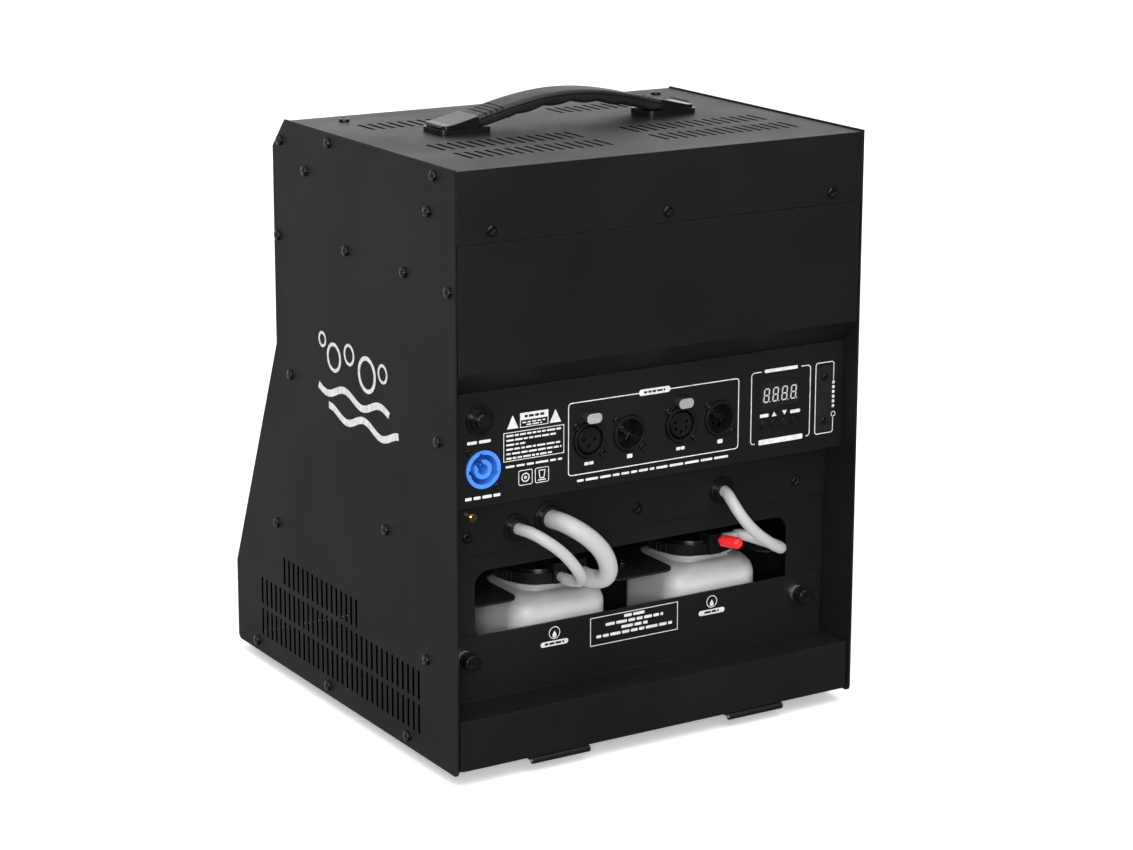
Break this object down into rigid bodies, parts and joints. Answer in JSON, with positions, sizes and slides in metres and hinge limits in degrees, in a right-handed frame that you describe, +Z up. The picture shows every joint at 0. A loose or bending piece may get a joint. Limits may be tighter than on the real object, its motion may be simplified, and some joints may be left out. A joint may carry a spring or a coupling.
{
  "type": "fog and bubble machine",
  "caption": "Free-standing stage effect machine that makes fog and bubbles: a folded steel case with carrying handle, fluid bay with hinged door, and a recessed control panel.",
  "frame": {"origin": "centre of the overall box in X and Y, at the soles of the rubber feet", "axes": "+Z up; -Y is the rear face with the control panel, +Y the sloping front that the fog and bubbles leave from; +X to the right when looking at the rear face"},
  "size_m": [0.304, 0.313, 0.4068],
  "materials": {
    "case_black": "satin fine-texture powder coat",
    "screw_black": "black oxide",
    "plastic_black": "fine grain",
    "cap_black": "moulded gloss",
    "rubber_black": "matt",
    "steel_plain": "zinc plated",
    "bottle_white": "translucent, blow-moulded",
    "hose_milky": "translucent silicone",
    "fitting_clear": "translucent moulded",
    "plug_red": "dipped vinyl",
    "inlet_blue": "moulded",
    "socket_black": "moulded",
    "tab_grey": "moulded",
    "display_dark": "tinted window",
    "key_black": "moulded",
    "brass_plain": "turned",
    "heater_aluminium": "cast and machined",
    "pump_metal": "drawn steel shell",
    "pipe_copper": "drawn tube",
    "wheel_white": "moulded",
    "motor_metal": "drawn steel shell",
    "tray_grey": "vacuum formed",
    "board_green": "solder mask"
  },
  "bodies": {
    "case": {"left_side_panel": "case_black", "right_side_panel": "case_black", "base_plate": "case_black", "top_cover": "case_black", "front_upper_panel": "case_black", "front_lower_panel": "case_black", "rear_upper_panel": "case_black", "control_panel": "case_black", "hose_panel": "case_black", "bay_frame": "case_black", "bottle_retainer": "case_black", "electronics_tray": "case_black", "mid_shelf": "case_black", "base_hinge_leaves": "case_black", "case_screws": "screw_black", "connector_screws": "screw_black", "rubber_feet": "rubber_black", "hose_grommets": "rubber_black", "handle_grip": "plastic_black", "handle_caps": "cap_black", "handle_shoes": "cap_black", "hinge_pins": "steel_plain", "fluid_bottles": "bottle_white", "bottle_caps": "plastic_black", "hose_connectors": "fitting_clear", "red_plug": "plug_red", "thin_hose": "hose_milky", "thick_hose": "hose_milky", "fog_hose": "hose_milky", "breaker_body": "plastic_black", "power_inlet": "inlet_blue", "xlr3_socket": "socket_black", "xlr3_plug": "socket_black", "xlr5_socket": "socket_black", "xlr5_plug": "socket_black", "display_module": "display_dark", "wireless_module": "plastic_black", "earth_terminal": "brass_plain", "heater_block": "heater_aluminium", "fog_nozzle": "brass_plain", "fluid_pumps": "pump_metal", "fluid_pipes": "pipe_copper", "wheel_motor": "motor_metal", "fan_housing": "plastic_black", "fluid_tray": "tray_grey", "circuit_boards": "board_green"},
    "door": {"fluid_door": "case_black", "door_hinge_leaves": "case_black", "thumbscrew_collars": "steel_plain"},
    "left_screw": {"left_thumbscrew": "plastic_black"},
    "right_screw": {"right_thumbscrew": "plastic_black"},
    "reset_button": {"breaker_button": "plastic_black"},
    "xlr3_tab": {"xlr3_latch": "tab_grey"},
    "xlr5_tab": {"xlr5_latch": "tab_grey"},
    "key_1": {"menu_key": "key_black"},
    "key_2": {"up_key": "key_black"},
    "key_3": {"down_key": "key_black"},
    "key_4": {"enter_key": "key_black"},
    "wheel": {"bubble_wheel": "wheel_white"},
    "fan": {"fan_rotor": "plastic_black"}
  },
  "joints": [
    {"name": "door_hinge", "type": "hinge", "parent": "case", "child": "door", "pos_m": [0, -0.1519, 0.0078], "axis": [1, 0, 0], "range_deg": [0, 95]},
    {"name": "left_screw_turn", "type": "hinge", "parent": "door", "child": "left_screw", "pos_m": [-0.1266, -0.1285, 0.0716], "axis": [0, -1, 0], "continuous": true},
    {"name": "right_screw_turn", "type": "hinge", "parent": "door", "child": "right_screw", "pos_m": [0.1276, -0.1285, 0.0716], "axis": [0, -1, 0], "continuous": true},
    {"name": "reset_press", "type": "slide", "parent": "case", "child": "reset_button", "axis": [0, 1, 0], "range_m": [0, 0.0018], "stiffness_N_per_m": 400, "springref_m": -0.001},
    {"name": "xlr3_tab_press", "type": "slide", "parent": "case", "child": "xlr3_tab", "axis": [0, 1, 0], "range_m": [0, 0.0015], "stiffness_N_per_m": 400, "springref_m": -0.001},
    {"name": "xlr5_tab_press", "type": "slide", "parent": "case", "child": "xlr5_tab", "axis": [0, 1, 0], "range_m": [0, 0.0015], "stiffness_N_per_m": 400, "springref_m": -0.001},
    {"name": "key_1_press", "type": "slide", "parent": "case", "child": "key_1", "axis": [0, 1, 0], "range_m": [0, 0.0006], "stiffness_N_per_m": 500, "springref_m": -0.0005},
    {"name": "key_2_press", "type": "slide", "parent": "case", "child": "key_2", "axis": [0, 1, 0], "range_m": [0, 0.0006], "stiffness_N_per_m": 500, "springref_m": -0.0005},
    {"name": "key_3_press", "type": "slide", "parent": "case", "child": "key_3", "axis": [0, 1, 0], "range_m": [0, 0.0006], "stiffness_N_per_m": 500, "springref_m": -0.0005},
    {"name": "key_4_press", "type": "slide", "parent": "case", "child": "key_4", "axis": [0, 1, 0], "range_m": [0, 0.0006], "stiffness_N_per_m": 500, "springref_m": -0.0005},
    {"name": "wheel_spin", "type": "hinge", "parent": "case", "child": "wheel", "pos_m": [0, 0.0505, 0.3], "axis": [0, 1, 0], "continuous": true},
    {"name": "fan_spin", "type": "hinge", "parent": "case", "child": "fan", "pos_m": [0, -0.0765, 0.265], "axis": [0, 1, 0], "continuous": true}
  ]
}
